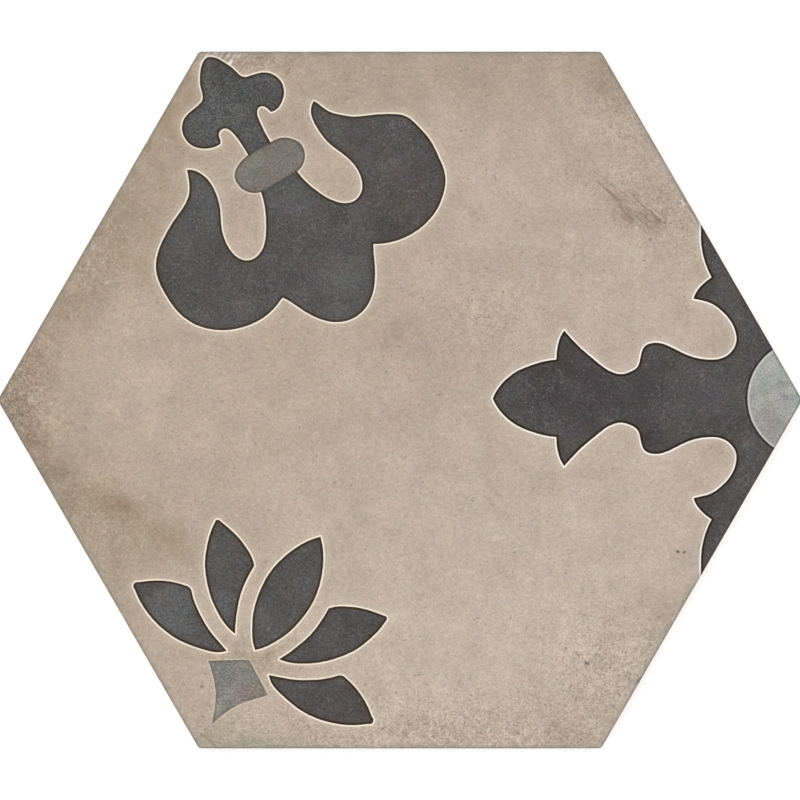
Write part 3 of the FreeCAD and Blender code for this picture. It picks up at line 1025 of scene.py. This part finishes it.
def edged(nodes, face, height):
    """The face's colour with grime, a darker line and worn clay along the tile's sides."""
    side = nodes.attribute("side_gap")
    on_ground = nodes.rise(nodes.attribute("ground_gap"), -0.1, 0.1)
    grime = nodes.rise(nodes.noise(5.0, 3.0, 0.6, 220), 0.3, 0.65, 0.2, 1.0)
    grime = nodes.times(grime, nodes.rise(side, 0.6, 2.6, 0.22, 0.0), on_ground)
    face = painted(nodes, face, grime, GRIME)
    line = nodes.times(nodes.rise(side, 0.4, 1.0, 1.0, 0.0), 0.3)
    face = nodes.mix(line, face, nodes.mix(on_ground, tone(SIDE_LINE_FIGURE), tone(SIDE_LINE_GROUND)))
    worn = nodes.times(nodes.rise(side, 0.3, 1.4, 1.0, 0.0), on_ground)
    worn = nodes.times(worn, nodes.rise(nodes.attribute("wear"), 0.45, 0.9, 0.0, 0.7))
    worn = nodes.times(worn, nodes.rise(height, *WORN_HEIGHTS))
    return painted(nodes, face, worn, WORN_CLAY)


def body_colour(nodes):
    """Bare fired clay of the sides and the back, dusty with old mortar."""
    colour = shaded(nodes, tone(BODY), nodes.noise(9.0, 2.0, 0.6, 180), 0.12)
    colour = mottled(nodes, colour, 5.0, 0.16, 190)
    mortar = nodes.rise(nodes.noise(7.0, 3.0, 0.62, 200), 0.5, 0.64)
    colour = painted(nodes, colour, nodes.times(mortar, 0.6), MORTAR)
    return shaded(nodes, colour, nodes.noise(0.7, 1.0, 0.5, 210), 0.15)


def relief(nodes, bare):
    """Height of the fine relief: grain all over, leathery in the figures, and rough on bare clay."""
    grain = nodes.noise(0.8, 2.0, 0.65, 240)
    figure = nodes.rise(nodes.attribute("ground_gap"), -0.2, 0.2, 1.0, 0.0)
    leather = nodes.times(nodes.cells(1.6, 5.0), nodes.plus(nodes.times(figure, 0.5), 0.15))
    rough = nodes.times(nodes.noise(2.5, 3.0, 0.7, 250), nodes.times(bare, 2.0))
    return nodes.plus(grain, leather, rough)


def tile_material():
    """Fired clay: the decorated face, and the bare body under it and round it."""
    nodes = Nodes("tile_clay")
    height = nodes.made("SeparateXYZ", {0: nodes.place}, "Z")
    uneven_height = nodes.plus(height, nodes.times(nodes.noise(4.0, 3.0, 0.6, 230), 2.0))
    bare = nodes.rise(uneven_height, *BARE_HEIGHTS, 1.0, 0.0)
    face = edged(nodes, face_colour(nodes), height)
    roughness = nodes.rise(nodes.noise(6.0, 2.0, 0.6, 260), 0.3, 0.7, 0.52, 0.72)
    bump = {"Height": relief(nodes, bare), "Strength": BUMP_STRENGTH, "Distance": BUMP_HEIGHT}
    inputs = {
        "Base Color": nodes.mix(bare, face, body_colour(nodes)),
        "Roughness": nodes.plus(roughness, nodes.times(bare, 0.2)),
        "Normal": nodes.made("Bump", bump),
        "Specular IOR Level": 0.2,
    }
    for name, value in inputs.items():
        nodes.plug(nodes.shader.inputs[name], value)
    return nodes.material


# Floor, light and camera


def seen_directly(tree):
    """One for the rays that show the background: from the camera, and reflected or passed on to it."""
    rays = tree.nodes.new("ShaderNodeLightPath").outputs
    seen = rays["Is Camera Ray"]
    for name in ("Is Glossy Ray", "Is Transmission Ray"):
        either = tree.nodes.new("ShaderNodeMath")
        either.operation = "MAXIMUM"
        tree.links.new(seen, either.inputs[0])
        tree.links.new(rays[name], either.inputs[1])
        seen = either.outputs[0]
    return seen


def white_floor():
    """A plain white floor that keeps the tile's soft shadow."""
    bpy.ops.mesh.primitive_plane_add(size=FLOOR_SIZE)
    floor = bpy.context.object
    floor.name = "floor"
    material = bpy.data.materials.new("floor_white")
    material.use_nodes = True
    tree = material.node_tree
    shader = tree.nodes["Principled BSDF"]
    shader.inputs["Base Color"].default_value = FLOOR_COLOUR
    shader.inputs["Roughness"].default_value = 0.9
    shader.inputs["Specular IOR Level"].default_value = 0.0
    shader.inputs["Emission Color"].default_value = WHITE
    glow = tree.nodes.new("ShaderNodeMath")
    glow.operation = "MULTIPLY"
    glow.inputs[1].default_value = FLOOR_GLOW
    tree.links.new(seen_directly(tree), glow.inputs[0])
    tree.links.new(glow.outputs[0], shader.inputs["Emission Strength"])
    floor.data.materials.append(material)


def studio_world():
    """Even light from all round, and white where the camera sees past the floor."""
    world = bpy.data.worlds.new("studio")
    bpy.context.scene.world = world
    world.use_nodes = True
    tree = world.node_tree
    background = tree.nodes["Background"]
    background.inputs["Color"].default_value = WHITE
    strength = tree.nodes.new("ShaderNodeMapRange")
    strength.inputs["To Min"].default_value = WORLD_LIGHT
    strength.inputs["To Max"].default_value = 1.0
    tree.links.new(seen_directly(tree), strength.inputs["Value"])
    tree.links.new(strength.outputs[0], background.inputs["Strength"])


def soft_lamp(name, place, size, power):
    """A large square lamp that points at the tile."""
    data = bpy.data.lights.new(name, "AREA")
    data.size = size
    data.energy = power
    lamp = bpy.data.objects.new(name, data)
    lamp.location = place
    lamp.rotation_euler = (-Vector(place)).to_track_quat("-Z", "Y").to_euler()
    bpy.context.scene.collection.objects.link(lamp)


def overhead_camera():
    """A long lens straight above the tile, with the picture as wide as in the photograph."""
    data = bpy.data.cameras.new("camera")
    data.lens = LENS
    data.sensor_width = SENSOR_WIDTH
    data.clip_end = FARTHEST_SEEN
    camera = bpy.data.objects.new("camera", data)
    camera.location = (0, 0, THICKNESS + PICTURE_WIDTH * LENS / SENSOR_WIDTH)
    bpy.context.scene.collection.objects.link(camera)
    bpy.context.scene.camera = camera


mesh = tile_mesh()
add_marks(mesh)
mesh.materials.append(tile_material())
tile = bpy.data.objects.new(PIECE, mesh)
bpy.context.scene.collection.objects.link(tile)
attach(tile, "root")
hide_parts(NODE)

white_floor()
studio_world()
soft_lamp("key", *KEY_LAMP)
soft_lamp("fill", *FILL_LAMP)
overhead_camera()
bpy.context.scene.view_settings.view_transform = "Standard"
